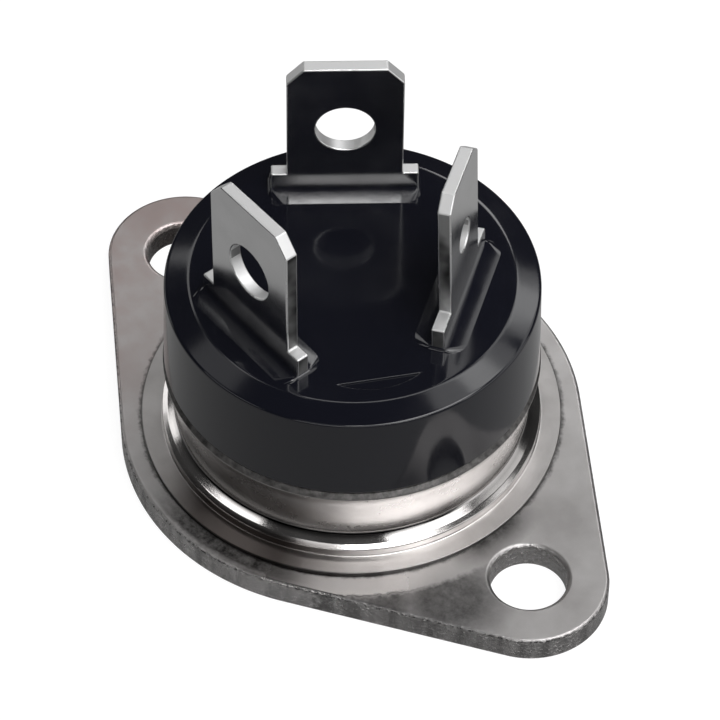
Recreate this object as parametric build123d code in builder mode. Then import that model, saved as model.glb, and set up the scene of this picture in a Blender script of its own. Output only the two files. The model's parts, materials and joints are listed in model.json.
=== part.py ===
from build123d import *
import os
from math import cos, radians, sin

# A flange-mount power triac. An oblong two-hole flange carries a round metal case ring,
# and a moulded cap with three blade terminals closes the ring. Inside, an insulated
# stack of plate, chip and clips lies under a potting gel.
# Millimetres, +Z up. The origin is the centre of the flange's seating face and +X runs
# along the flange. A lead's own directions are: out, away from the axis of the cap and
# across the blade's face; along, the blade's width; and up.

# Mounting flange
HOLE_SPACING = 30.1
HOLE_R = 2.08
FLANGE_MID_R = 12.78
FLANGE_END_R = 4.34
FLANGE_THICK = 1.55
FLANGE_EDGE_R = 0.2
HOLE_RIM = 0.25

# Case ring: a foot on the flange, a step with a sloped shoulder, a flared wall and a lip
FOOT_R = 11.62
FOOT_THICK = 0.2
STEP_R = 10.4
STEP_Z = 2.22
CREST_R = 10.17
CREST_Z = 2.42
NECK_R = 9.7
NECK_Z = 2.9
LIP_R = 10.31
LIP_Z = 6.3
CASE_TOP = 6.94
BORE_R = 9.1
MOUTH_R = 9.6

# Moulded cap
CAP_FOOT_R = 10.26
CAP_EDGE_R = 10.12
CAP_EDGE_Z = 12.29
CAP_FACE_R = 8.77
CAP_TOP = 12.66
CAP_CEILING = 10.9
SPIGOT_R = 9.5
SPIGOT_Z = 5.6
CAVITY_R = 8.9
CAP_EDGE_ROUND = 0.15

# Low collars round the blades on the cap: length, width and corner radius, foot and land
COLLAR_HEIGHT = 0.12
COLLAR_FOOT = (8.4, 2.85, 1.0)
COLLAR_LAND = (8.2, 1.39, 0.3)
SLOT_GAP = 0.04

# Blade terminals, stamped from one sheet
SHEET = 0.75
SHOULDER_WIDTH = 8.0
SHOULDER_Z = 13.9
SHANK_Z = 9.6
BEND_Z = 13.2
BLADE_TIP_Z = 21.95
OUTER_BEVEL = (0.17, 0.45)
INNER_BEVEL = (0.11, 0.08)
HOLE_CHAMFER = 0.12

# Each lead: centre on the cap, facing in degrees from +X, blade, hole, leg and foot.
# tilt_out and tilt_along are the set of the blade in degrees, as it was left by hand.
LEADS = {
    "mt1": dict(at=(-5.45, 3.9), facing=142, blade=6.3, corner=(0.9, 1.05), hole_r=1.6, hole_z=17.4,
                tilt_out=0.0, tilt_along=0.0, leg=3.0, foot_z=4.6, foot=2.6),
    "mt2": dict(at=(-0.35, -6.36), facing=-90, blade=6.3, corner=(0.9, 1.05), hole_r=1.6, hole_z=17.4,
                tilt_out=-0.5, tilt_along=-1.0, leg=3.0, foot_z=3.21, foot=2.9),
    "gate": dict(at=(4.5, 3.58), facing=34, blade=5.2, corner=(0.85, 0.8), hole_r=0.95, hole_z=17.25,
                 tilt_out=-2.5, tilt_along=2.3, leg=1.6, foot_z=4.6, foot=1.5),
}

# The stack on the flange, from the bottom: thickness of each layer
SOLDER = 0.1
DIE_SOLDER = 0.08
CERAMIC_R = 8.2
CERAMIC_THICK = 0.65
CERAMIC_PAD_R = 7.2
PLATE_SIZE = (9.0, 10.5)
PLATE_AT = (0.0, -0.65)
PLATE_THICK = 0.8
CHIP_SIDE = 7.0
CHIP_AT = (-0.3, 0.7)
CHIP_THICK = 0.3
GEL_TOP = 8.6

# Clips from the chip's pads to the leads' feet, measured outwards from the lead's centre
CLIPS = {
    "mt1": dict(thick=0.5, width=3.4, pad=(-8.3, -4.2), tread_end=-0.9),
    "gate": dict(thick=0.3, width=1.0, pad=(-2.85, -1.85), tread_end=-0.45),
}

ceramic_z = FLANGE_THICK + SOLDER
plate_z = ceramic_z + CERAMIC_THICK + SOLDER
die_solder_z = plate_z + PLATE_THICK
chip_z = die_solder_z + DIE_SOLDER
chip_top = chip_z + CHIP_THICK
clip_z = chip_top + DIE_SOLDER

os.makedirs("parts", exist_ok=True)


def directions(lead):
    """Unit vectors out of a lead's face and along its width."""
    facing = radians(lead["facing"])
    return Vector(cos(facing), sin(facing), 0), Vector(-sin(facing), cos(facing), 0)


def face_plane(lead):
    """Sketch plane of a lead's root: x along the width, y up, normal outwards."""
    out, along = directions(lead)
    return Plane(origin=(*lead["at"], 0), x_dir=along, z_dir=out)


def blade_plane(lead):
    """Sketch plane of a leaning blade from its bend: x along the width, y up the blade."""
    out, along = directions(lead)
    lean_out, lean_along = radians(lead["tilt_out"]), radians(lead["tilt_along"])
    up = Vector(0, 0, cos(lean_out)) + out * sin(lean_out)
    normal = out * cos(lean_out) - Vector(0, 0, sin(lean_out))
    x_dir = along * cos(lean_along) - up * sin(lean_along)
    return Plane(origin=(*lead["at"], BEND_Z), x_dir=x_dir, z_dir=normal)


def edge_plane(lead):
    """Sketch plane across a lead: x outwards, y up."""
    out, along = directions(lead)
    return Plane(origin=(*lead["at"], 0), x_dir=out, z_dir=-along)


def top_plane(lead, z):
    """Level sketch plane over a lead: x along the width."""
    return Plane(origin=(*lead["at"], z), x_dir=directions(lead)[1], z_dir=(0, 0, 1))


def save(builder, name):
    """Labels a finished piece and writes it as its own STEP file."""
    builder.part.label = name
    export_step(builder.part, f"parts/{name}.step")


# Mounting flange: the hull of a middle disc and two end discs, with rounded upper edges
with BuildPart() as mounting_flange:
    with BuildSketch():
        Circle(FLANGE_MID_R)
        with GridLocations(HOLE_SPACING, 0, 2, 1):
            Circle(FLANGE_END_R)
        make_hull()
    extrude(amount=FLANGE_THICK)
    with GridLocations(HOLE_SPACING, 0, 2, 1):
        Hole(HOLE_R)
    upper_face = mounting_flange.faces().sort_by(Axis.Z)[-1]
    hole_rims = [edge for rim in upper_face.inner_wires() for edge in rim.edges()]
    chamfer(hole_rims, HOLE_RIM)
    fillet(mounting_flange.faces().sort_by(Axis.Z)[-1].outer_wire().edges(), FLANGE_EDGE_R)
save(mounting_flange, "mounting_flange")

# Case ring: one revolved section
with BuildPart() as case_ring:
    with BuildSketch(Plane.XZ):
        with BuildLine():
            Polyline(
                (BORE_R, FLANGE_THICK),
                (FOOT_R, FLANGE_THICK),
                (FOOT_R, FLANGE_THICK + FOOT_THICK),
                (STEP_R, FLANGE_THICK + FOOT_THICK),
                (STEP_R, STEP_Z),
                (CREST_R, CREST_Z),
                (NECK_R, NECK_Z),
            )
            Spline(
                (NECK_R, NECK_Z),
                (NECK_R + 0.38, (NECK_Z + LIP_Z) / 2 + 0.25),
                (LIP_R - 0.14, LIP_Z - 0.06),
            )
            Polyline(
                (LIP_R - 0.14, LIP_Z - 0.06),
                (LIP_R, LIP_Z),
                (LIP_R, CASE_TOP - 0.08),
                (LIP_R - 0.08, CASE_TOP),
                (MOUTH_R, CASE_TOP),
                (MOUTH_R, SPIGOT_Z),
                (BORE_R, NECK_Z + 0.5),
                (BORE_R, FLANGE_THICK),
            )
        make_face()
    revolve(axis=Axis.Z)
save(case_ring, "case_ring")

# Moulded cap: a revolved cup with a spigot, then the three collars and their slots
with BuildPart() as cap:
    with BuildSketch(Plane.XZ) as cap_section:
        Polygon(
            (SPIGOT_R, SPIGOT_Z),
            (SPIGOT_R, CASE_TOP),
            (CAP_FOOT_R, CASE_TOP),
            (CAP_EDGE_R, CAP_EDGE_Z),
            (CAP_FACE_R, CAP_TOP),
            (0, CAP_TOP),
            (0, CAP_CEILING),
            (CAVITY_R, CAP_CEILING),
            (CAVITY_R, SPIGOT_Z),
            align=None,
        )
        fillet(cap_section.vertices().filter_by(lambda v: v.Z > CAP_CEILING + 0.1 and v.X > 1), CAP_EDGE_ROUND)
    revolve(axis=Axis.Z)
    for lead in LEADS.values():
        with BuildSketch(top_plane(lead, CAP_TOP)):
            RectangleRounded(*COLLAR_FOOT)
        with BuildSketch(top_plane(lead, CAP_TOP + COLLAR_HEIGHT)):
            RectangleRounded(*COLLAR_LAND)
        loft()
    for lead in LEADS.values():
        with BuildSketch(top_plane(lead, CAP_TOP + COLLAR_HEIGHT)):
            Rectangle(SHOULDER_WIDTH + 2 * SLOT_GAP, SHEET + 2 * SLOT_GAP)
        extrude(amount=CAP_CEILING - CAP_TOP - 2 * COLLAR_HEIGHT, mode=Mode.SUBTRACT)
save(cap, "cap")

# Blade terminals: the flat outline, cut to the bent section of the sheet
terminals = []
for name, lead in LEADS.items():
    half_blade = lead["blade"] / 2
    corner_in, corner_down = lead["corner"]
    lean = radians(lead["tilt_out"])

    def leaned(out, up):
        """A point of the leaning blade's section, up being measured from the bend."""
        return out * cos(lean) + up * sin(lean), BEND_Z - out * sin(lean) + up * cos(lean)

    tip = BLADE_TIP_Z - BEND_Z
    with BuildPart() as terminal:
        with BuildSketch(face_plane(lead)):
            with Locations((0, SHANK_Z)):
                Rectangle(SHOULDER_WIDTH, SHOULDER_Z - SHANK_Z, align=(Align.CENTER, Align.MIN))
            with Locations((0, lead["foot_z"])):
                Rectangle(lead["leg"], SHANK_Z - lead["foot_z"], align=(Align.CENTER, Align.MIN))
        with BuildSketch(blade_plane(lead)):
            Polygon(
                (-half_blade, 0),
                (half_blade, 0),
                (half_blade, tip - corner_down),
                (half_blade - corner_in, tip),
                (corner_in - half_blade, tip),
                (-half_blade, tip - corner_down),
                align=None,
            )
            with Locations((0, lead["hole_z"] - BEND_Z)):
                Circle(lead["hole_r"], mode=Mode.SUBTRACT)
        extrude(amount=CAVITY_R / 2, both=True)
        with BuildSketch(edge_plane(lead)):
            Polygon(
                (SHEET / 2, lead["foot_z"]),
                (SHEET / 2, BEND_Z),
                leaned(SHEET / 2, tip - OUTER_BEVEL[1]),
                leaned(SHEET / 2 - OUTER_BEVEL[0], tip),
                leaned(-SHEET / 2 + INNER_BEVEL[0], tip),
                leaned(-SHEET / 2, tip - INNER_BEVEL[1]),
                (-SHEET / 2, BEND_Z),
                (-SHEET / 2, lead["foot_z"] + SHEET),
                (-lead["foot"], lead["foot_z"] + SHEET),
                (-lead["foot"], lead["foot_z"]),
                align=None,
            )
        extrude(amount=SHOULDER_WIDTH, both=True, mode=Mode.INTERSECT)
        hole_rims = terminal.edges().filter_by(
            lambda e: e.geom_type != GeomType.LINE and e.center().Z > SHOULDER_Z + 1
        )
        chamfer(hole_rims, HOLE_CHAMFER)
    terminals.append(terminal.part)
    save(terminal, f"{name}_terminal")

# The stack: solder, ceramic disc, solder, terminal plate, solder and chip
with BuildPart() as base_solder:
    with BuildSketch(Plane.XY.offset(FLANGE_THICK)):
        Circle(CERAMIC_PAD_R)
    extrude(amount=SOLDER)
save(base_solder, "base_solder")

with BuildPart() as ceramic_disc:
    with BuildSketch(Plane.XY.offset(ceramic_z)):
        Circle(CERAMIC_R)
    extrude(amount=CERAMIC_THICK)
save(ceramic_disc, "ceramic_disc")

with BuildPart() as plate_solder:
    with BuildSketch(Plane.XY.offset(ceramic_z + CERAMIC_THICK)):
        with Locations(PLATE_AT):
            Rectangle(*PLATE_SIZE)
    extrude(amount=SOLDER)
save(plate_solder, "plate_solder")

with BuildPart() as mt2_plate:
    with BuildSketch(Plane.XY.offset(plate_z)):
        with Locations(PLATE_AT):
            Rectangle(*PLATE_SIZE)
    extrude(amount=PLATE_THICK)
save(mt2_plate, "mt2_plate")

with BuildPart() as die_solder:
    with BuildSketch(Plane.XY.offset(die_solder_z)):
        with Locations(CHIP_AT):
            Rectangle(CHIP_SIDE, CHIP_SIDE)
    extrude(amount=DIE_SOLDER)
save(die_solder, "die_solder")

with BuildPart() as triac_chip:
    with BuildSketch(Plane.XY.offset(chip_z)):
        with Locations(CHIP_AT):
            Rectangle(CHIP_SIDE, CHIP_SIDE)
    extrude(amount=CHIP_THICK)
save(triac_chip, "triac_chip")

# Clips: a pad on the chip, a riser and a tread under the lead's foot
clips = []
for name, clip in CLIPS.items():
    lead = LEADS[name]
    inner, outer = clip["pad"]
    riser = outer - clip["thick"]
    with BuildPart() as pad_solder:
        with BuildSketch(edge_plane(lead)):
            Polygon((inner, chip_top), (outer, chip_top), (outer, clip_z), (inner, clip_z), align=None)
        extrude(amount=clip["width"] / 2, both=True)
    save(pad_solder, f"{name}_solder")
    with BuildPart() as strap:
        with BuildSketch(edge_plane(lead)):
            Polygon(
                (inner, clip_z),
                (outer, clip_z),
                (outer, lead["foot_z"] - clip["thick"]),
                (clip["tread_end"], lead["foot_z"] - clip["thick"]),
                (clip["tread_end"], lead["foot_z"]),
                (riser, lead["foot_z"]),
                (riser, clip_z + clip["thick"]),
                (inner, clip_z + clip["thick"]),
                align=None,
            )
        extrude(amount=clip["width"] / 2, both=True)
    save(strap, f"{name}_clip")
    clips += [pad_solder.part, strap.part]

# Potting gel: fills the ring and the lower part of the cap around everything above
with BuildPart() as potting_gel:
    with BuildSketch(Plane.XZ):
        Polygon(
            (0, FLANGE_THICK),
            (BORE_R, FLANGE_THICK),
            (BORE_R, NECK_Z + 0.5),
            (MOUTH_R, SPIGOT_Z),
            (CAVITY_R, SPIGOT_Z),
            (CAVITY_R, GEL_TOP),
            (0, GEL_TOP),
            align=None,
        )
    revolve(axis=Axis.Z)
    stack = [base_solder, ceramic_disc, plate_solder, mt2_plate, die_solder, triac_chip]
    for solid in [piece.part for piece in stack] + clips + terminals:
        add(solid, mode=Mode.SUBTRACT)
save(potting_gel, "potting_gel")
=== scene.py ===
import json
from math import acos, cos, pi, radians, sin

import bmesh
import bpy
from mathutils import Matrix, Vector


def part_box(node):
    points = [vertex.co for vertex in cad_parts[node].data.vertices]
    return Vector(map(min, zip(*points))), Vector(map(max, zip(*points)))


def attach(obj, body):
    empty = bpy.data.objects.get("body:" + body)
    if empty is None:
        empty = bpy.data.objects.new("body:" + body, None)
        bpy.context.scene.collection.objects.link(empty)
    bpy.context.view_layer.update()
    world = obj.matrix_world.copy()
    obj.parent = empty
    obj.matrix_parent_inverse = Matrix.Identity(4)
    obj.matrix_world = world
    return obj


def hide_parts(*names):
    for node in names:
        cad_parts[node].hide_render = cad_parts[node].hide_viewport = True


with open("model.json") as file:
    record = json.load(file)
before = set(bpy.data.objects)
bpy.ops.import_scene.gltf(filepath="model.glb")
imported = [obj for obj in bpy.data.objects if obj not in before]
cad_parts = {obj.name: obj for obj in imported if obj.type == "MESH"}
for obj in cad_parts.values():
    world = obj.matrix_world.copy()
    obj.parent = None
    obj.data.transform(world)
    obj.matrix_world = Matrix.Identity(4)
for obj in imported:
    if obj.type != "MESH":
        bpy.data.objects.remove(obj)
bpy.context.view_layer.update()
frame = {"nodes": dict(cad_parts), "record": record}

# A flange-mount triac: pressed flange and case ring, glossy moulded cap, three tinned blades.
# Lengths are in millimetres in the driving values and become metres through MM.
MM = 0.001
AROUND = 288  # points round a turned piece
HOLE_AROUND = 96  # points round a screw hole
BORE_AROUND = 64  # points round a blade's hole
CORNER = 10  # steps round the corner of a collar
EDGE_STEPS = 5  # steps over a rounded edge of the flange
WIDE_SHARE = 0.4  # faces of at least this share of the largest one set a corner's normal

MOUNTS = {mount["name"]: mount for mount in frame["record"]["mounts"]}
FLANGE_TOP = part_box("mounting_flange")[1].z / MM
CASE_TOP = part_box("case_ring")[1].z / MM

# Mounting flange
HOLE_SPACING = MOUNTS["screw_holes"]["dims"]["spacing_x_mm"]
HOLE_R = MOUNTS["screw_holes"]["dims"]["hole_r_mm"]
FLANGE_MID_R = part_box("mounting_flange")[1].y / MM
FLANGE_END_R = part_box("mounting_flange")[1].x / MM - HOLE_SPACING / 2
FLANGE_EDGE_R = 0.22
FLANGE_BREAK = 0.06  # small chamfer round the underside
HOLE_RIM_R = 0.28

# Case ring, from the foot up; pairs are points (r, z) of its section
BORE_R = 9.1
MOUTH_R = 9.6
FOOT_R = 11.62
FOOT_TOP = FLANGE_TOP + 0.2
FOOT_EDGE_R = 0.06
FOOT_INNER_R = 10.64
STEP_R = 10.46
STEP_FILLET_R = 0.08
STEP_ROUND_R = 0.1
STEP_WALL_Z = FOOT_TOP + 0.3
STEP_ROUND_Z = FOOT_TOP + 0.437  # centre of the step's rounded top
STEP_EDGE = (10.41, 2.273)
CREST = (10.17, 2.42)
CREST_ROUND = 0.04
NECK = (9.7, 2.82)
NECK_ROUND = 0.16
WALL_FOOT = (9.72, 2.98)
WALL_TOP = (10.16, 6.22)
WALL_STEPS = 9
LIP_CENTRE = (10.22, 6.36)
LIP_R = 0.1
LIP_SEAM = (10.09, 6.63)
RIM_CENTRE = (10.02, 6.66)
RIM_R = 0.06
INNER_NECK_Z = 3.4

# Cap; pairs are points (r, z) of its section
SPIGOT_R = 9.5
SPIGOT_Z = 5.6
CAVITY_R = 8.9
CAVITY_TOP = 10.9
CAP_TOP = 12.66
CAP_EDGE = (10.12, 12.29)
CAP_BEVEL = ((9.9, 12.35), (9.0, 12.597))  # with CAP_SIDE: so that only the ends carry the rounds
CAP_FACE_R = 8.77
CAP_FOOT_R = 10.26
CAP_FOOT_EDGE_R = 0.06
CAP_SIDE = ((CAP_FOOT_R - 0.01, CASE_TOP + 0.4), (CAP_EDGE[0] + 0.01, CAP_EDGE[1] - 0.4))
CAP_EDGE_ROUND = 0.14
CAP_FACE_ROUND = 0.12

# Mould mark in the cap's top: a shallow sunk lens; angles in degrees, radii at its ends and its middle
MARK_AZIMUTH = -28.3
MARK_HALF_ANGLE = 18.2
MARK_END_R = 7.6
MARK_MIDDLE_R = 7.95
MARK_STEPS = 40
MARK_POINTED = 2.4  # radians lost at each end for an inset are the inset over this
MARK_EDGE = ((0, 0), (0.03, 0.004), (0.06, 0.017), (0.08, 0.035), (0.09, 0.06), (0.095, 0.1))  # inset, depth

# Collars: height, foot and land as length, width and corner radius
COLLAR_HEIGHT = 0.12
COLLAR_FOOT = (8.4, 2.85, 1.0)
COLLAR_LAND = (8.2, 1.39, 0.3)

# Terminals: blade width, and the blade's corner cut across and down
SHEET = 0.75
SHEET_BEVEL = 0.09
SHOULDER_WIDTH = 8.0
SHOULDER_Z = 13.9
SHANK_Z = 9.6
BEND_Z = 13.2
BEND_REACH = 0.4
BEND_CUTS = 2  # cuts on each side of the bend's middle
LEADS = {
    "mt1": dict(blade=6.3, corner=(0.9, 1.05)),
    "mt2": dict(blade=6.3, corner=(0.9, 1.05)),
    "gate": dict(blade=5.2, corner=(0.85, 0.8)),
}

# Marks on the metal and painted shade, each with the centre (x, y) and the radius of its patch; the radii
# with
# _R or _RANGE in their names are measured from the axis and bound what lies inside them
WIPED = ((9.3, -8.6), 6.5)
WIPED_R = 13.0
# painted shade on the flange in front of the foot, on the side away from the lamps
FRONT_SHADE = ((3.0, -12.0), 6)
FRONT_SHADE_R = 12.5
# painted shade along the foot's outer line at the right
FOOT_SHADE = ((12.3, 0.4), 3.2)
FOOT_SHADE_RANGE = (11.8, 13.1)
RIGHT_STAIN = ((13.5, -4.2), 3.7)
CORNER_STAIN = ((11.0, -7.6), 3.6)
NEAR_HOLE = ((HOLE_SPACING / 2, 0), 2.5 * HOLE_R)
FAR_HOLE = ((-HOLE_SPACING / 2, 0), 2.5 * HOLE_R)
# painted shade low on the case ring at the front
CASE_LOW_SHADE = ((3.2, -10.8), 7)
# where the painted shade in the ring's crease is strongest, at the front
CREASE_SHADE_SPOT = ((5.0, -8.0), 12)
# painted shade on the ring's step and shoulder at the right
CASE_RIGHT_SHADE = ((9.5, 4.5), 8)

# Plated metals and moulding compound; a mean is the plain value under a clouded colour
FLANGE_MEAN = (0.56, 0.54, 0.53)
FLANGE_DARK = (0.46, 0.443, 0.437)
FLANGE_LIGHT = (0.56, 0.547, 0.542)
FLANGE_WARM = (0.52, 0.435, 0.42)
CASE_MEAN = (0.6, 0.58, 0.57)
CASE_DARK = (0.54, 0.52, 0.51)
CASE_LIGHT = (0.64, 0.62, 0.61)
# colour of the painted shade low on the case ring's front
CASE_LOW_SHADE_COLOR = (0.1, 0.082, 0.075)
TIN_MEAN = (0.68, 0.68, 0.68)
TIN_DARK = (0.64, 0.64, 0.64)
TIN_LIGHT = (0.71, 0.71, 0.71)
TIN_SHEARED = (0.76, 0.76, 0.76)
EPOXY_BLACK = (0.005, 0.0054, 0.0095)

# Stage, in metres but for the camera's roll, lens and shift
FLOOR_HALF = 3.0
FLOOR_COLOR = (0.14, 0.14, 0.14)
FLOOR_LIFT = 0.92  # how white the floor looks to the camera, before the lamps light it
FLOOR_MIRRORED = 0.2  # share of that which the object mirrors
WORLD_STRENGTH = 0.02
WORLD_MIRRORED = 0.04
LAMP_DISTANCE = 0.6
LOOK_AT = Vector((0, 0, 0.006))
CAMERA_PLACE = Vector((0.11744, -0.09797, 0.18664))
CAMERA_ROLL = 0.644  # degrees
CAMERA_LENS = 216.6  # millimetres
CAMERA_SHIFT = (0.01134, -0.00432)  # shares of the picture's side


# ---------------------------------------------------------------- meshes

def circle(radius, z, count=AROUND, centre=(0, 0)):
    """A level ring of points."""
    turns = [2 * pi * i / count for i in range(count)]
    return [Vector((centre[0] + radius * cos(t), centre[1] + radius * sin(t), z)) for t in turns]


def hull(inset, z):
    """The flange's outline, drawn in by inset: three circles and their tangents."""
    middle, end, reach = FLANGE_MID_R - inset, FLANGE_END_R - inset, HOLE_SPACING / 2
    half = acos((middle - end) / reach)
    steps = AROUND // 4
    ring = []
    for centre, radius, start, stop in (
        (reach, end, -half, half),
        (0, middle, half, pi - half),
        (-reach, end, pi - half, pi + half),
        (0, middle, pi + half, 2 * pi - half),
    ):
        for i in range(steps + 1):
            turn = start + (stop - start) * i / steps
            ring.append(Vector((centre + radius * cos(turn), radius * sin(turn), z)))
    return ring


def rounded_box(length, width, radius, z=0.0):
    """A level ring round a box with rounded corners, x along its length."""
    ring = []
    for i, (sx, sy) in enumerate(((1, 1), (-1, 1), (-1, -1), (1, -1))):
        centre = Vector((sx * (length / 2 - radius), sy * (width / 2 - radius), z))
        for k in range(CORNER + 1):
            turn = pi / 2 * (i + k / CORNER)
            ring.append(centre + radius * Vector((cos(turn), sin(turn), 0)))
    return ring


def add_rings(bm, rings):
    """Joins each ring to the next with quads and returns the rings' vertices."""
    made = [[bm.verts.new(point * MM) for point in ring] for ring in rings]
    for low, high in zip(made, made[1:]):
        for i, here in enumerate(low):
            j = (i + 1) % len(low)
            bm.faces.new((here, low[j], high[j], high[i]))
    return made


def fill(bm, rings):
    """Fills the flat area between an outline and the rings inside it."""
    edges = []
    for ring in rings:
        for i, here in enumerate(ring):
            pair = (ring[i - 1], here)
            edges.append(bm.edges.get(pair) or bm.edges.new(pair))
    bmesh.ops.triangle_fill(bm, use_beauty=True, edges=edges)


def mark_sheared(bm):
    """Stores on each face how far it is a sheared edge of the sheet, and how far a straight side."""
    bm.normal_update()
    sheared = bm.faces.layers.float.new("sheared")
    side = bm.faces.layers.float.new("side")
    for face in bm.faces:
        face[sheared] = 1 - abs(face.normal.z)
        face[side] = 1.0 if abs(face.normal.x) > 0.98 else 0.0


def finish_piece(bm, name, material, node, sharp=40):
    """Turns the mesh into a shaded piece that stands for its CAD node.

    Each corner of a face takes the normal of the largest faces that meet it smoothly, so that
    flat faces stay flat and the small rounds between them carry the whole turn."""
    bmesh.ops.recalc_face_normals(bm, faces=bm.faces)
    bm.normal_update()
    limit = radians(sharp)
    normals = []
    for face in bm.faces:
        for loop in face.loops:
            near = [other for other in loop.vert.link_faces if other.normal.angle(face.normal, 0) < limit]
            largest = max(other.calc_area() for other in near)
            wide = [other for other in near if other.calc_area() > WIDE_SHARE * largest]
            total = sum((other.normal * other.calc_area() for other in wide), Vector())
            normals.append(total.normalized())
    mesh = bpy.data.meshes.new(name)
    bm.to_mesh(mesh)
    bm.free()
    mesh.shade_smooth()
    mesh.normals_split_custom_set(normals)
    mesh.materials.append(material)
    piece = bpy.data.objects.new(name, mesh)
    bpy.context.scene.collection.objects.link(piece)
    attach(piece, "root")
    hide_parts(node)
    return piece


def arc(centre, radius, start, stop, steps=6):
    """Section points (r, z) on an arc, angles in degrees."""
    turns = [radians(start + (stop - start) * i / steps) for i in range(steps + 1)]
    return [(centre[0] + radius * cos(t), centre[1] + radius * sin(t)) for t in turns]


def round_corner(before, corner, after, reach, steps=5):
    """Section points round a corner, starting and ending reach away from it."""
    corner = Vector(corner)
    start = corner + (Vector(before) - corner).normalized() * reach
    stop = corner + (Vector(after) - corner).normalized() * reach
    shares = [i / steps for i in range(steps + 1)]
    return [tuple(start * (1 - t) ** 2 + corner * 2 * t * (1 - t) + stop * t ** 2) for t in shares]


def turned(section, name, material, node, sharp=40):
    """A piece turned from a closed section of (r, z) points."""
    bm = bmesh.new()
    made = add_rings(bm, [circle(r, z) for r, z in section])
    first, last = made[0], made[-1]
    for i, here in enumerate(last):
        j = (i + 1) % AROUND
        bm.faces.new((here, last[j], first[j], first[i]))
    return finish_piece(bm, name, material, node, sharp)


# ---------------------------------------------------------------- shader values

def put(tree, socket, value):
    """Gives a socket a linked value, a plain number or a plain colour."""
    if isinstance(value, bpy.types.NodeSocket):
        tree.links.new(value, socket)
    elif isinstance(value, (int, float)):
        socket.default_value = value
    else:
        socket.default_value = (*value, 1)


def calc(tree, operation, *values):
    """A Math node over sockets and plain numbers."""
    node = tree.nodes.new("ShaderNodeMath")
    node.operation = operation
    for socket, value in zip(node.inputs, values):
        put(tree, socket, value)
    return node.outputs[0]


def product(tree, first, *others):
    """The product of several values."""
    for value in others:
        first = calc(tree, "MULTIPLY", first, value)
    return first


def largest_of(tree, first, *others):
    """The largest of several values."""
    for value in others:
        first = calc(tree, "MAXIMUM", first, value)
    return first


def add_share(tree, base, value, share):
    """A base plus a share of a value."""
    return calc(tree, "MULTIPLY_ADD", value, share, base)


def remap(tree, value, low, high, start=0.3, stop=0.7):
    """Maps the range from start to stop onto the range from low to high, and holds it there."""
    node = tree.nodes.new("ShaderNodeMapRange")
    node.inputs["From Min"].default_value = start
    node.inputs["From Max"].default_value = stop
    node.inputs["To Min"].default_value = low
    node.inputs["To Max"].default_value = high
    tree.links.new(value, node.inputs["Value"])
    return node.outputs["Result"]


def noise(tree, scale, detail=4.0, roughness=0.55, stretch=(1, 1, 1)):
    """A noise value over the object's own coordinates, scale per millimetre."""
    place = tree.nodes.new("ShaderNodeTexCoord")
    mapping = tree.nodes.new("ShaderNodeMapping")
    mapping.inputs["Scale"].default_value = [factor / MM for factor in stretch]
    texture = tree.nodes.new("ShaderNodeTexNoise")
    texture.inputs["Scale"].default_value = scale
    texture.inputs["Detail"].default_value = detail
    texture.inputs["Roughness"].default_value = roughness
    tree.links.new(place.outputs["Object"], mapping.inputs["Vector"])
    tree.links.new(mapping.outputs["Vector"], texture.inputs["Vector"])
    return texture.outputs["Fac"]


def mixed(tree, value, first, second):
    """Mixes two colours, each a socket or a plain colour, by a value."""
    mix = tree.nodes.new("ShaderNodeMix")
    mix.data_type = "RGBA"
    put(tree, mix.inputs["A"], first)
    put(tree, mix.inputs["B"], second)
    tree.links.new(value, mix.inputs["Factor"])
    return mix.outputs["Result"]


def darkened(tree, color, dark):
    """Darkens a colour by a value from 0 to 1."""
    return mixed(tree, dark, color, (0, 0, 0))


def length_of(tree, x, y):
    """The length of a level vector."""
    return calc(tree, "SQRT", calc(tree, "ADD", calc(tree, "MULTIPLY", x, x), calc(tree, "MULTIPLY", y, y)))


def position(tree):
    """The object's own x, y and z in millimetres, and the distance from its upright axis."""
    place = tree.nodes.new("ShaderNodeTexCoord")
    split = tree.nodes.new("ShaderNodeSeparateXYZ")
    tree.links.new(place.outputs["Object"], split.inputs[0])
    x, y, z = (calc(tree, "DIVIDE", split.outputs[axis], MM) for axis in range(3))
    return x, y, z, length_of(tree, x, y)


def band(tree, value, middle, width):
    """1 at the middle of a band, falling to 0 at its borders."""
    away = calc(tree, "ABSOLUTE", calc(tree, "SUBTRACT", value, middle))
    return remap(tree, away, 1, 0, 0, width / 2)


def patch(tree, x, y, spot):
    """1 in the middle of a round spot, fading to 0 at its border."""
    centre, radius = spot
    away = length_of(tree, calc(tree, "SUBTRACT", x, centre[0]), calc(tree, "SUBTRACT", y, centre[1]))
    return remap(tree, away, 1, 0, radius * 0.4, radius)


def stored(tree, name):
    """A value stored on the faces, from 0 to 1."""
    node = tree.nodes.new("ShaderNodeAttribute")
    node.attribute_name = name
    return node.outputs["Fac"]


def bump(tree, shader, value, height=1.0):
    """Raises the surface by a value, height in millimetres."""
    node = tree.nodes.new("ShaderNodeBump")
    node.inputs["Distance"].default_value = height * MM
    tree.links.new(value, node.inputs["Height"])
    tree.links.new(node.outputs["Normal"], shader.inputs["Normal"])


def new_material(name, color, roughness, metallic=0.0):
    """A principled material, with its node tree and its shader."""
    material = bpy.data.materials.new(name)
    material.use_nodes = True
    tree = material.node_tree
    shader = tree.nodes["Principled BSDF"]
    shader.inputs["Base Color"].default_value = (*color, 1)
    shader.inputs["Roughness"].default_value = roughness
    shader.inputs["Metallic"].default_value = metallic
    return material, tree, shader


# ---------------------------------------------------------------- materials

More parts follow.
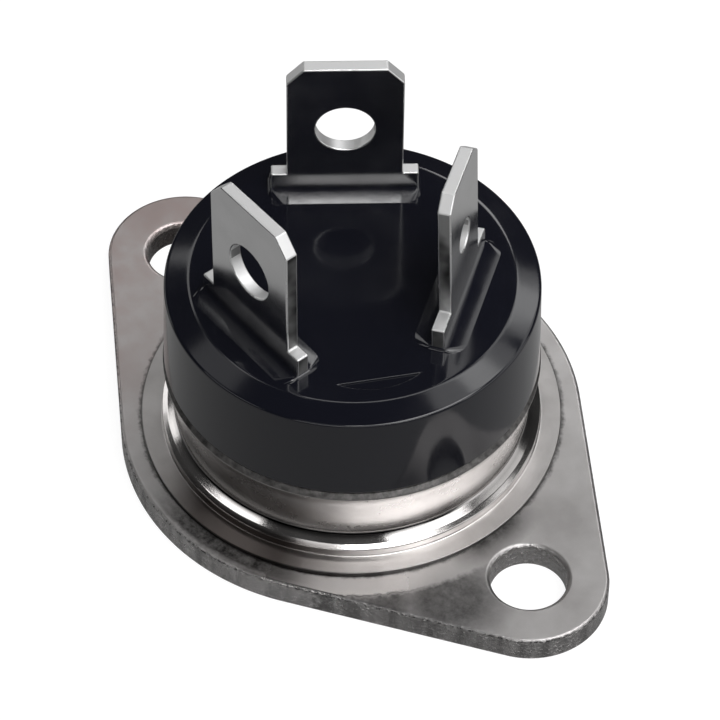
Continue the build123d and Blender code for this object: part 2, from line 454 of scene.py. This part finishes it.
def flange_stain_and_shade(tree, x, y, rough_radius, grit):
    """Painted shade in front of and beside the foot, and stains outside the wiped ring, patchy through the
    grit.
    """
    inside_front = remap(tree, rough_radius, 1, 0, FRONT_SHADE_R - 0.15, FRONT_SHADE_R + 0.15)
    inside_foot = remap(tree, rough_radius, 1, 0, *FOOT_SHADE_RANGE)
    # inner is painted shade in front of and beside the foot; outer is stains outside the wiped ring
    inner = largest_of(
        tree,
        product(tree, inside_front, patch(tree, x, y, FRONT_SHADE)),
        product(tree, inside_foot, patch(tree, x, y, FOOT_SHADE)),
    )
    outside = remap(tree, rough_radius, 0, 0.66, WIPED_R - 0.15, WIPED_R + 0.2)
    outer = product(
        tree,
        outside,
        largest_of(tree, patch(tree, x, y, RIGHT_STAIN), patch(tree, x, y, CORNER_STAIN)),
    )
    return largest_of(
        tree,
        product(tree, inner, remap(tree, grit, 0.62, 0.92, 0.35, 0.65)),
        product(tree, outer, remap(tree, grit, 0.8, 1.15, 0.3, 0.7)),
    )


def flange_edge(tree, x, y, sheared):
    """Darkness of the sheared edges: streaks, specks along their corners, and painted shade on the far
    hole's wall.
    """
    streak = noise(tree, 1.1, 4.0, 0.6, (1, 1, 0.2))
    streaks = product(tree, sheared, remap(tree, streak, 0.5, 0, 0.35, 0.6))
    speck = remap(tree, noise(tree, 4.5, 3.0, 0.7), 0, 0.95, 0.47, 0.56)
    specks = product(tree, band(tree, sheared, 0.5, 0.9), speck)
    far_hole = patch(tree, x, y, FAR_HOLE)
    holes = largest_of(tree, patch(tree, x, y, NEAR_HOLE), far_hole)
    edge = product(tree, largest_of(tree, streaks, specks), remap(tree, holes, 1, 0.2))
    # painted shade inside the far hole
    wall = product(tree, remap(tree, sheared, 0, 0.8, 0.8, 0.98), far_hole)
    return largest_of(tree, edge, wall)


def flange_nickel(name):
    """Satin nickel plate on the flange: blotched, warmer at the left end, with painted shade towards the
    right end, wiped smooth in front of the foot, with stains, painted shade in front of, beside and along
    the foot and along the wiped ring's border, and gritty sheared edges."""
    material, tree, shader = new_material(name, FLANGE_MEAN, 0.38, 1.0)
    x, y, _, radius = position(tree)
    blotch = noise(tree, 0.35, 5.0, 0.6)
    grit = noise(tree, 2.2, 5.0, 0.7)
    sheared = stored(tree, "sheared")
    rough_radius = add_share(tree, calc(tree, "SUBTRACT", radius, 0.3), grit, 0.6)
    wiped = patch(tree, x, y, WIPED)

    grey = mixed(tree, remap(tree, blotch, 0, 1), FLANGE_DARK, FLANGE_LIGHT)
    warm = product(tree, remap(tree, x, 1, 0, -15, -5), remap(tree, blotch, 1, 0.35, 0.4, 0.62))
    color = mixed(tree, warm, grey, FLANGE_WARM)
    # painted shade: the colour darkens towards the flange's right end
    color = darkened(tree, color, remap(tree, x, 0, 0.16, 5, 14))
    # painted shade in front of and beside the foot, and stains outside the wiped ring
    stain_and_shade = flange_stain_and_shade(tree, x, y, rough_radius, grit)
    stain_and_shade = product(tree, stain_and_shade, remap(tree, sheared, 1, 0, 0.2, 0.6))
    # painted shade: a dark band on the flange along the foot's outer line
    foot_line_shade = product(tree, band(tree, rough_radius, FOOT_R, 0.5), 0.75)
    # painted shade: a dark gritty line along the border of the wiped ring
    wiped_border_shade = product(tree, band(tree, rough_radius, WIPED_R - 0.02, 0.24), wiped, 0.7)
    dark = largest_of(tree, stain_and_shade, foot_line_shade, wiped_border_shade, flange_edge(tree, x, y, sheared))
    tree.links.new(darkened(tree, color, dark), shader.inputs["Base Color"])

    smooth = product(tree, remap(tree, rough_radius, 1, 0, WIPED_R - 0.1, WIPED_R + 0.1), wiped)
    roughness = add_share(tree, remap(tree, blotch, 0.34, 0.44), smooth, -0.16)
    roughness = add_share(tree, roughness, sheared, -0.12)
    tree.links.new(roughness, shader.inputs["Roughness"])
    grain = product(tree, noise(tree, 1.5, 4.0), 0.005)
    nick = remap(tree, noise(tree, 4.5, 3.0, 0.6), 0, 1, 0.45, 0.75)
    bump(tree, shader, add_share(tree, grain, product(tree, sheared, nick), 0.1))
    return material


def case_nickel(name):
    """Nickel plate on the drawn case ring: bright on the step, satin on the wall and the foot, with painted
    shade in the crease, along the lip under the cap, round the foot's edge, on the step at the right and low
    at the front."""
    material, tree, shader = new_material(name, CASE_MEAN, 0.15, 1.0)
    x, y, z, radius = position(tree)
    cloud = noise(tree, 0.5, 4.0, 0.6)
    grit = noise(tree, 2.2, 5.0, 0.7)
    foot = remap(tree, z, 1, 0, FOOT_TOP + 0.01, FOOT_TOP + 0.06)
    lip = remap(tree, z, 0, 1, LIP_CENTRE[1] - 0.02, LIP_CENTRE[1] + 0.06)
    wall = remap(tree, z, 0, 1, NECK[1] + 0.1, NECK[1] + 0.5)
    shoulder = band(tree, z, (CREST[1] + NECK[1]) / 2, 0.8)

    color = mixed(tree, remap(tree, cloud, 0, 1), CASE_DARK, CASE_LIGHT)
    low = remap(tree, z, 1, 0, CREST[1] - 0.1, CREST[1])
    # painted shade low on the ring at the front
    low_shade = product(tree, patch(tree, x, y, CASE_LOW_SHADE), low, 0.85)
    color = mixed(tree, low_shade, color, CASE_LOW_SHADE_COLOR)
    # painted shade: a dark line round the foot's outer edge
    rim = product(tree, remap(tree, radius, 0, 0.75, FOOT_R - 0.08, FOOT_R - 0.02), foot)
    # painted shade on the lip under the cap's edge, broken up by the grit
    lip_shade = product(tree, lip, remap(tree, grit, 0.95, 0.72))
    # painted shade in the crease between shoulder and wall, strongest at the front
    crease = product(tree, band(tree, z, NECK[1] - 0.05, 0.4), patch(tree, x, y, CREASE_SHADE_SPOT), 1.15)
    # painted shade on the step and shoulder at the right
    right_shade = product(tree, patch(tree, x, y, CASE_RIGHT_SHADE), band(tree, z, CREST[1] + 0.2, 1.3), 0.5)
    dark = largest_of(tree, rim, lip_shade, crease, right_shade)
    tree.links.new(darkened(tree, color, dark), shader.inputs["Base Color"])

    roughness = add_share(tree, remap(tree, cloud, 0.13, 0.18), foot, 0.16)
    roughness = add_share(tree, roughness, lip, 0.15)
    roughness = add_share(tree, roughness, wall, 0.13)
    roughness = add_share(tree, roughness, shoulder, -0.03)
    tree.links.new(roughness, shader.inputs["Roughness"])
    wave = product(tree, noise(tree, 0.45, 2.0), 0.012)
    bump(tree, shader, add_share(tree, wave, grit, 0.003))
    return material


def tin(name):
    """Bright tin plate on the blades, a little wavy, duller on the sheared edges."""
    material, tree, shader = new_material(name, TIN_MEAN, 0.16, 1.0)
    cloud = noise(tree, 0.5, 4.0)
    sheared = stored(tree, "sheared")
    side = stored(tree, "side")
    color = mixed(tree, remap(tree, cloud, 0, 1), TIN_DARK, TIN_LIGHT)
    color = mixed(tree, sheared, color, TIN_SHEARED)
    streak = remap(tree, noise(tree, 0.3, 3.0, 0.5), 0.5, 0.95, 0.4, 0.6)
    tree.links.new(darkened(tree, color, product(tree, side, streak)), shader.inputs["Base Color"])
    roughness = add_share(tree, remap(tree, cloud, 0.12, 0.2), sheared, 0.36)
    tree.links.new(roughness, shader.inputs["Roughness"])
    bump(tree, shader, noise(tree, 0.25, 2.0), 0.01)
    return material


def epoxy(name):
    """Glossy black moulding compound, bluish, with a faint orange peel."""
    material, tree, shader = new_material(name, EPOXY_BLACK, 0.1)
    tree.links.new(remap(tree, noise(tree, 0.4, 5.0), 0.07, 0.13), shader.inputs["Roughness"])
    bump(tree, shader, noise(tree, 0.8, 4.0), 0.002)
    return material


def plain(name, color, roughness, metallic):
    """A quiet material with slight clouding for the parts inside."""
    material, tree, shader = new_material(name, color, roughness, metallic)
    darker = [channel * 0.85 for channel in color]
    clouded = mixed(tree, remap(tree, noise(tree, 0.8), 0, 1), darker, color)
    tree.links.new(clouded, shader.inputs["Base Color"])
    return material


# ---------------------------------------------------------------- pieces

def upper_edge(radius):
    """Steps over a rounded upper edge of the flange: how far each lies in from the wall, and its z."""
    turns = [pi / 2 * i / EDGE_STEPS for i in range(EDGE_STEPS + 1)]
    return [(radius * (1 - cos(turn)), FLANGE_TOP - radius * (1 - sin(turn))) for turn in turns]


def make_flange(material):
    """The pressed flange with rounded upper edges and hole rims."""
    bm = bmesh.new()
    rings = [hull(FLANGE_BREAK, 0), hull(0, FLANGE_BREAK)]
    rings += [hull(inset, z) for inset, z in upper_edge(FLANGE_EDGE_R)]
    outline = add_rings(bm, rings)
    bottoms, tops = [outline[0]], [outline[-1]]
    for side in (-1, 1):
        centre = (side * HOLE_SPACING / 2, 0)
        rings = [circle(HOLE_R, 0, HOLE_AROUND, centre)]
        rings += [circle(HOLE_R + step, z, HOLE_AROUND, centre) for step, z in upper_edge(HOLE_RIM_R)]
        hole = add_rings(bm, rings)
        bottoms.append(hole[0])
        tops.append(hole[-1])
    fill(bm, bottoms)
    fill(bm, tops)
    mark_sheared(bm)
    piece = finish_piece(bm, "flange", material, "mounting_flange")


def make_case_ring(material):
    """The drawn case ring: foot, step, sloped shoulder, flared wall and rolled lip."""
    edge_r = FOOT_R - FOOT_EDGE_R
    section = [(BORE_R, FLANGE_TOP), (FOOT_R, FLANGE_TOP), (FOOT_R, FOOT_TOP - FOOT_EDGE_R)]
    section += arc((edge_r, FOOT_TOP - FOOT_EDGE_R), FOOT_EDGE_R, 0, 90, 4)
    section += [(edge_r - FOOT_EDGE_R, FOOT_TOP), (FOOT_INNER_R, FOOT_TOP)]
    section += arc((STEP_R + STEP_FILLET_R, FOOT_TOP + STEP_FILLET_R), STEP_FILLET_R, 270, 186, 5)
    section += [(STEP_R, STEP_WALL_Z)]
    section += arc((STEP_R - STEP_ROUND_R, STEP_ROUND_Z), STEP_ROUND_R, -7, 59, 6)
    section += round_corner(STEP_EDGE, CREST, NECK, CREST_ROUND, 4)
    section += round_corner(CREST, NECK, WALL_TOP, NECK_ROUND, 6)
    for i in range(1, WALL_STEPS):
        section.append(tuple(Vector(WALL_FOOT).lerp(Vector(WALL_TOP), i / WALL_STEPS)))
    section += arc(LIP_CENTRE, LIP_R, -75, 45, 7)
    section += [LIP_SEAM]
    section += arc(RIM_CENTRE, RIM_R, 45, 0, 2)
    section += [(RIM_CENTRE[0] + RIM_R, CASE_TOP), (MOUTH_R, CASE_TOP), (MOUTH_R, SPIGOT_Z)]
    section += [(BORE_R, INNER_NECK_Z)]
    piece = turned(section, "case", material, "case_ring", 50)


def collar_rings(lead):
    """Rings of one collar, from inside the shoulders out over the land and down the slope."""
    top = CAP_TOP + COLLAR_HEIGHT
    length, width, radius = COLLAR_FOOT
    rings = [
        rounded_box(SHOULDER_WIDTH - 0.1, SHEET - 0.1, 0.02, top),
        rounded_box(*COLLAR_LAND, top),
        rounded_box(length, width, radius, CAP_TOP),
        rounded_box(length + 0.02, width + 0.1, radius, CAP_TOP - 0.1),
    ]
    place = Matrix.Translation(lead["root"]) @ lead["root_turn"].to_4x4()
    return [[place @ point for point in ring] for ring in rings]


def mark_rings():
    """Rings of the sunk mould mark, from its rounded upper edge down to its floor."""
    rings = []
    for inset, depth in MARK_EDGE:
        half = radians(MARK_HALF_ANGLE) - inset / MARK_POINTED
        ring = []
        for i in range(MARK_STEPS + 1):
            share = 2 * i / MARK_STEPS - 1
            radius = MARK_MIDDLE_R - (MARK_MIDDLE_R - MARK_END_R) * share * share - inset / 2
            turn = radians(MARK_AZIMUTH) + half * share
            ring.append(Vector((radius * cos(turn), radius * sin(turn), CAP_TOP - depth)))
        ring += [ring[-1].lerp(ring[0], i / MARK_STEPS) for i in range(1, MARK_STEPS)]
        rings.append(ring)
    return rings


def make_cap(material, leads):
    """The moulded cap with its bevel, the mould mark and the three low collars."""
    bm = bmesh.new()
    foot_r = CAP_FOOT_R - CAP_FOOT_EDGE_R
    face_edge = (CAP_FACE_R, CAP_TOP)
    section = [(CAVITY_R, SPIGOT_Z), (SPIGOT_R, SPIGOT_Z), (SPIGOT_R, CASE_TOP), (foot_r, CASE_TOP)]
    section += arc((foot_r, CASE_TOP + CAP_FOOT_EDGE_R), CAP_FOOT_EDGE_R, -60, 0, 3)
    section += CAP_SIDE
    section += round_corner((CAP_FOOT_R, CASE_TOP), CAP_EDGE, face_edge, CAP_EDGE_ROUND, 6)
    section += CAP_BEVEL
    section += round_corner(CAP_EDGE, face_edge, (0, CAP_TOP), CAP_FACE_ROUND, 4)
    section += [(CAP_FACE_R - 0.25, CAP_TOP)]
    shell = add_rings(bm, [circle(r, z) for r, z in section])
    mark = add_rings(bm, mark_rings())
    fill(bm, [shell[-1], mark[0]])
    fill(bm, [mark[-1]])
    cavity = ((CAVITY_R, SPIGOT_Z), (CAVITY_R, CAVITY_TOP), (0.6, CAVITY_TOP))
    inner = add_rings(bm, [circle(r, z) for r, z in cavity])
    fill(bm, [inner[-1]])
    for lead in leads.values():
        add_rings(bm, collar_rings(lead))
    piece = finish_piece(bm, "moulded_cap", material, "cap", 60)


def lead_frame(name):
    """Where a lead stands: its root and its leaning blade, from the record's mounts."""
    hole, tip = MOUNTS[f"{name}_wire_hole"], MOUNTS[f"{name}_blade"]
    normal = Vector(hole["axis"])
    up = (Vector(tip["pos_m"]) - Vector(hole["pos_m"])).normalized()
    out = Vector((normal.x, normal.y, 0)).normalized()
    along = Vector((0, 0, 1)).cross(out)
    tip_at = Vector(tip["pos_m"]) / MM
    bend = tip_at - up * (tip_at.z - BEND_Z) / up.z
    return dict(
        LEADS[name],
        hole_r=hole["dims"]["r_mm"],
        hole_y=(Vector(hole["pos_m"]) / MM - bend).length,
        tip_y=(tip_at - bend).length,
        tip_z=tip["pos_m"][2],
        root=Vector((bend.x, bend.y, 0)),
        root_turn=Matrix((along, out, Vector((0, 0, 1)))).transposed(),
        bend=bend,
        axes=(up.cross(normal), up, normal),
    )


def stamp(bm, lead):
    """The flat stamped sheet of a terminal with its hole, x across it and y up from the bend."""
    half, (cut_in, cut_down), tip = lead["blade"] / 2, lead["corner"], lead["tip_y"]
    wide, shoulder, bottom = SHOULDER_WIDTH / 2, SHOULDER_Z - BEND_Z, SHANK_Z - BEND_Z
    outline = [
        (-wide, bottom), (wide, bottom), (wide, shoulder),
        (half, shoulder), (half, tip - cut_down), (half - cut_in, tip),
        (cut_in - half, tip), (-half, tip - cut_down), (-half, shoulder), (-wide, shoulder),
    ]
    sheets = []
    for side in (-SHEET / 2, SHEET / 2):
        rim = [bm.verts.new((x, y, side)) for x, y in outline]
        hole = circle(lead["hole_r"], side, BORE_AROUND, (0, lead["hole_y"]))
        bore = [bm.verts.new(point) for point in hole]
        fill(bm, [rim, bore])
        sheets.append((rim, bore))
    for low, high in zip(*sheets):
        for i in range(len(low)):
            bm.faces.new((low[i - 1], low[i], high[i], high[i - 1]))


def make_terminal(name, lead, material):
    """A stamped terminal: shank, shoulders and leaning blade, with a hole and bevelled edges."""
    bm = bmesh.new()
    stamp(bm, lead)
    bmesh.ops.recalc_face_normals(bm, faces=bm.faces)
    edges = [edge for edge in bm.edges if edge.calc_face_angle(0) > radians(30)]
    bmesh.ops.bevel(
        bm, geom=edges, offset=SHEET_BEVEL, segments=3, profile=0.5, affect="EDGES", clamp_overlap=True
    )
    mark_sheared(bm)
    for cut in range(-BEND_CUTS, BEND_CUTS + 1):
        everything = bm.verts[:] + bm.edges[:] + bm.faces[:]
        height = cut * BEND_REACH / BEND_CUTS
        bmesh.ops.bisect_plane(bm, geom=everything, plane_co=(0, height, 0), plane_no=(0, 1, 0))
    x_dir, y_dir, z_dir = lead["axes"]
    along, out = lead["root_turn"].col[0], lead["root_turn"].col[1]
    for vert in bm.verts:
        x, y, z = vert.co
        share = min(max((y / BEND_REACH + 1) / 2, 0), 1)
        leaning = lead["bend"] + x_dir * x + y_dir * y + z_dir * z
        upright = lead["bend"] + along * x + Vector((0, 0, y)) + out * z
        vert.co = upright.lerp(leaning, share) * MM
        vert.co.z = min(vert.co.z, lead["tip_z"])
    piece = finish_piece(bm, f"{name}_blade_terminal", material, f"{name}_terminal", 35)


def dress_hidden():
    """Gives the sealed inner pieces their materials."""
    looks = {
        "solder": plain("solder", (0.55, 0.55, 0.56), 0.45, 1.0),
        "ceramic": plain("alumina", (0.9, 0.89, 0.86), 0.7, 0.0),
        "copper": plain("copper", (0.72, 0.42, 0.3), 0.35, 1.0),
        "silicon": plain("silicon", (0.25, 0.25, 0.28), 0.3, 1.0),
        "gel": plain("gel", (0.75, 0.74, 0.7), 0.4, 0.0),
    }
    for part in frame["record"]["subparts"]:
        if part["material_slot"] in looks:
            piece = frame["nodes"][part["node"]]
            if not piece.material_slots:
                piece.data.materials.append(None)
            for holder in piece.material_slots:
                holder.material = looks[part["material_slot"]]


# ---------------------------------------------------------------- stage

def aim(thing, place, target):
    """Turns a camera or lamp at place towards target."""
    back = (place - target).normalized()
    right = Vector((0, 0, 1)).cross(back).normalized()
    turn = Matrix((right, back.cross(right), back)).transposed()
    thing.matrix_world = Matrix.Translation(place) @ turn.to_4x4()


def direction(azimuth, elevation):
    """Unit vector at an azimuth from +X and an elevation, in degrees."""
    a, e = radians(azimuth), radians(elevation)
    return Vector((cos(a) * cos(e), sin(a) * cos(e), sin(e)))


def softbox(name, azimuth, elevation, size, radiance):
    """A rectangular soft light; a mirror shows radiance 1 as white."""
    data = bpy.data.lights.new(name, "AREA")
    data.shape = "RECTANGLE"
    data.size, data.size_y = size
    data.energy = radiance * pi * size[0] * size[1]
    lamp = bpy.data.objects.new(name, data)
    bpy.context.scene.collection.objects.link(lamp)
    aim(lamp, direction(azimuth, elevation) * LAMP_DISTANCE, LOOK_AT)


def light_object():
    """Soft lights round the object, each for what a face of the metal or of the cap mirrors."""
    # right side and back right
    softbox("main", 9, 43.5, (0.38, 0.14), 3.4)
    softbox("high", 22, 67, (0.42, 0.2), 6)
    softbox("back_low", 43, 14, (0.52, 0.4), 1.3)
    softbox("back_mid", 83, 46, (0.5, 0.12), 1.5)
    softbox("back_high", 89, 63, (0.1, 0.2), 1.5)
    # back left, which the level faces mirror, with a dark gap left for the cap's top
    softbox("far", 127, 36, (0.12, 0.15), 4)
    softbox("far_high", 125, 66, (0.42, 0.07), 2.4)
    softbox("far_right", 108, 50, (0.12, 0.2), 2)
    softbox("far_left", 165, 43, (0.1, 0.18), 1.8)
    # front, for the ring's wall, step and foot
    softbox("low_front", -110, 37, (0.32, 0.1), 2.4)
    softbox("front", -34, 33, (0.7, 0.08), 5)
    softbox("over", -36, 66, (0.39, 0.1), 1.25)
    softbox("key", -36, 67, (0.05, 0.04), 25)
    # left side, for the bevel and the flange's edge
    softbox("left_high", -172, 60, (0.16, 0.12), 0.7)
    softbox("left_low", -165, 16, (0.28, 0.15), 1.5)


def shown_white(tree, mirrored):
    """1 for the camera, and a share of it for what the object mirrors or lets through."""
    path = tree.nodes.new("ShaderNodeLightPath")
    both = largest_of(tree, path.outputs["Is Glossy Ray"], path.outputs["Is Transmission Ray"])
    return largest_of(tree, path.outputs["Is Camera Ray"], product(tree, both, mirrored))


def make_floor():
    """A wide pale floor that shows white and keeps the object's shadow."""
    bm = bmesh.new()
    bmesh.ops.create_grid(bm, x_segments=1, y_segments=1, size=FLOOR_HALF)
    mesh = bpy.data.meshes.new("floor")
    bm.to_mesh(mesh)
    bm.free()
    material, tree, shader = new_material("pale_floor", FLOOR_COLOR, 0.8)
    glow = tree.nodes.new("ShaderNodeEmission")
    tree.links.new(product(tree, shown_white(tree, FLOOR_MIRRORED), FLOOR_LIFT), glow.inputs["Strength"])
    both = tree.nodes.new("ShaderNodeAddShader")
    tree.links.new(shader.outputs[0], both.inputs[0])
    tree.links.new(glow.outputs[0], both.inputs[1])
    tree.links.new(both.outputs[0], tree.nodes["Material Output"].inputs["Surface"])
    mesh.materials.append(material)
    floor = bpy.data.objects.new("floor", mesh)
    bpy.context.scene.collection.objects.link(floor)


def make_world():
    """A dim even surround, white to the camera and faint in what the object mirrors."""
    world = bpy.data.worlds.new("surround")
    bpy.context.scene.world = world
    world.use_nodes = True
    tree = world.node_tree
    background = tree.nodes["Background"]
    background.inputs["Color"].default_value = (1, 1, 1, 1)
    strength = largest_of(tree, shown_white(tree, WORLD_MIRRORED), WORLD_STRENGTH)
    tree.links.new(strength, background.inputs["Strength"])


def make_camera():
    """The camera, from the front right and well above, rolled a little."""
    data = bpy.data.cameras.new("camera")
    data.lens = CAMERA_LENS
    data.clip_start, data.clip_end = 0.01, 10
    data.shift_x, data.shift_y = CAMERA_SHIFT
    camera = bpy.data.objects.new("camera", data)
    bpy.context.scene.collection.objects.link(camera)
    bpy.context.scene.camera = camera
    aim(camera, CAMERA_PLACE, LOOK_AT)
    camera.matrix_world = camera.matrix_world @ Matrix.Rotation(radians(CAMERA_ROLL), 4, "Z")


leads = {name: lead_frame(name) for name in LEADS}
make_flange(flange_nickel("flange_plate"))
make_case_ring(case_nickel("case_plate"))
make_cap(epoxy("black_epoxy"), leads)
blade_tin = tin("blade_tin")
for lead_name, placed in leads.items():
    make_terminal(lead_name, placed, blade_tin)
dress_hidden()

make_floor()
make_world()
light_object()
make_camera()

bpy.context.scene.view_settings.view_transform = "Standard"
